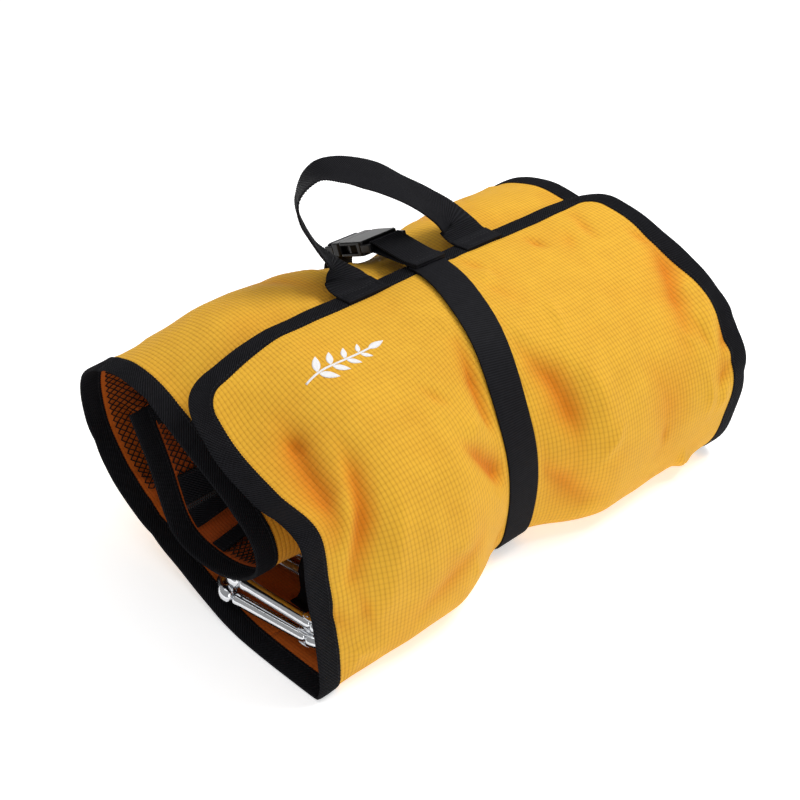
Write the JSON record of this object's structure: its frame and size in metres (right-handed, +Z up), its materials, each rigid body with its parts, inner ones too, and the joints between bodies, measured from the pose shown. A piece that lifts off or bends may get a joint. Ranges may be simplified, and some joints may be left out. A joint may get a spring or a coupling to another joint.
{
  "type": "roll-up gear bag",
  "caption": "Rolled cloth gear bag with taped edges, a flap closed by a strap and side-release buckle, a webbing handle, inner mesh pockets with a zip, and clipped carabiners.",
  "frame": {"origin": "centre of the bottom of the bounding box, on the ground under the roll", "axes": "+X along the roll, away from the end that shows the pockets and carabiners; -Y is the front with the strap, +Y the back; +Z up"},
  "size_m": [0.4, 0.2763, 0.2496],
  "materials": {
    "shell_cloth": "amber ripstop weave with a square lattice of small dimples",
    "edge_tape": "black twill tape, folded over the edge and stitched",
    "webbing": "black ribbed webbing",
    "pocket_mesh": "open black diamond mesh",
    "zip": "black coil zip",
    "buckle": "moulded black acetal, glossy",
    "carabiner": "polished bright metal"
  },
  "bodies": {
    "root": {"shell_front": "shell_cloth", "shell_base": "shell_cloth", "shell_back": "shell_cloth", "shell_top": "shell_cloth", "shell_inner": "shell_cloth", "edge_tape_left": "edge_tape", "edge_tape_right": "edge_tape", "edge_tape_inner_end": "edge_tape", "strap_front": "webbing", "strap_under": "webbing", "strap_back": "webbing", "mesh_pocket_back": "pocket_mesh", "pocket_hem_back": "edge_tape", "mesh_pocket_lower": "pocket_mesh", "pocket_hem_lower": "edge_tape", "mesh_pocket_upper": "pocket_mesh", "pocket_edge_upper": "edge_tape", "zip_tape_lower": "edge_tape", "zip_tape_upper": "edge_tape", "zip_coil": "zip", "gear_loop": "webbing"},
    "flap": {"flap_panel": "shell_cloth", "edge_tape_flap": "edge_tape", "strap_top": "webbing", "buckle_tab": "webbing", "buckle_socket": "buckle", "handle_pad_left": "webbing", "handle_pad_right": "webbing"},
    "handle": {"handle_loop": "webbing"},
    "plug": {"buckle_plug": "buckle", "strap_end": "webbing"},
    "prong_left": {"buckle_prong_left": "buckle"},
    "prong_right": {"buckle_prong_right": "buckle"},
    "slider": {"zip_slider": "zip"},
    "pull": {"zip_pull": "zip"},
    "carabiner_lower": {"carabiner_lower_frame": "carabiner", "carabiner_lower_rivet": "carabiner"},
    "gate_lower": {"carabiner_lower_gate": "carabiner"},
    "carabiner_upper": {"carabiner_upper_frame": "carabiner", "carabiner_upper_rivet": "carabiner"},
    "gate_upper": {"carabiner_upper_gate": "carabiner"}
  },
  "joints": [
    {"name": "flap_open", "type": "hinge", "parent": "root", "child": "flap", "pos_m": [0, -0.0956, 0.142], "axis": [1, 0, 0], "range_deg": [0, 75]},
    {"name": "handle_swing", "type": "hinge", "parent": "flap", "child": "handle", "pos_m": [0, 0.0339, 0.174], "axis": [1, 0, 0], "range_deg": [-12, 70]},
    {"name": "buckle_release", "type": "slide", "parent": "flap", "child": "plug", "axis": [0, 0.9272, -0.3746], "range_m": [0, 0.032]},
    {"name": "prong_right_squeeze", "type": "hinge", "parent": "plug", "child": "prong_right", "pos_m": [0.0288, 0.09308, 0.16369], "axis": [0, 0.3746, 0.9272], "range_deg": [-7, 0], "stiffness_Nm_per_rad": 0.03},
    {"name": "prong_left_squeeze", "type": "hinge", "parent": "plug", "child": "prong_left", "pos_m": [0.0072, 0.09308, 0.16369], "axis": [0, 0.3746, 0.9272], "range_deg": [0, 7], "stiffness_Nm_per_rad": 0.03},
    {"name": "zip_run", "type": "slide", "parent": "root", "child": "slider", "axis": [-1, 0, 0], "range_m": [0, 0.32]},
    {"name": "zip_pull_flip", "type": "hinge", "parent": "slider", "child": "pull", "pos_m": [0.16, 0.03655, 0.06233], "axis": [0, 0.5528, 0.8333], "range_deg": [0, 150]},
    {"name": "carabiner_lower_turn", "type": "hinge", "parent": "root", "child": "carabiner_lower", "pos_m": [-0.13985, -0.03964, 0.0152], "axis": [0, 0, 1], "range_deg": [-6, 6]},
    {"name": "gate_lower_open", "type": "hinge", "parent": "carabiner_lower", "child": "gate_lower", "pos_m": [-0.18029, -0.0752, 0.0152], "axis": [0, 0, -1], "range_deg": [0, 25], "stiffness_Nm_per_rad": 0.05},
    {"name": "carabiner_upper_turn", "type": "hinge", "parent": "root", "child": "carabiner_upper", "pos_m": [-0.13567, -0.04483, 0.0272], "axis": [0, 0, 1], "range_deg": [-6, 6]},
    {"name": "gate_upper_open", "type": "hinge", "parent": "carabiner_upper", "child": "gate_upper", "pos_m": [-0.17792, -0.07822, 0.0272], "axis": [0, 0, -1], "range_deg": [0, 25], "stiffness_Nm_per_rad": 0.05}
  ],
  "couplings": [
    {"joint": "prong_left_squeeze", "follows": "prong_right_squeeze", "ratio": -1}
  ]
}
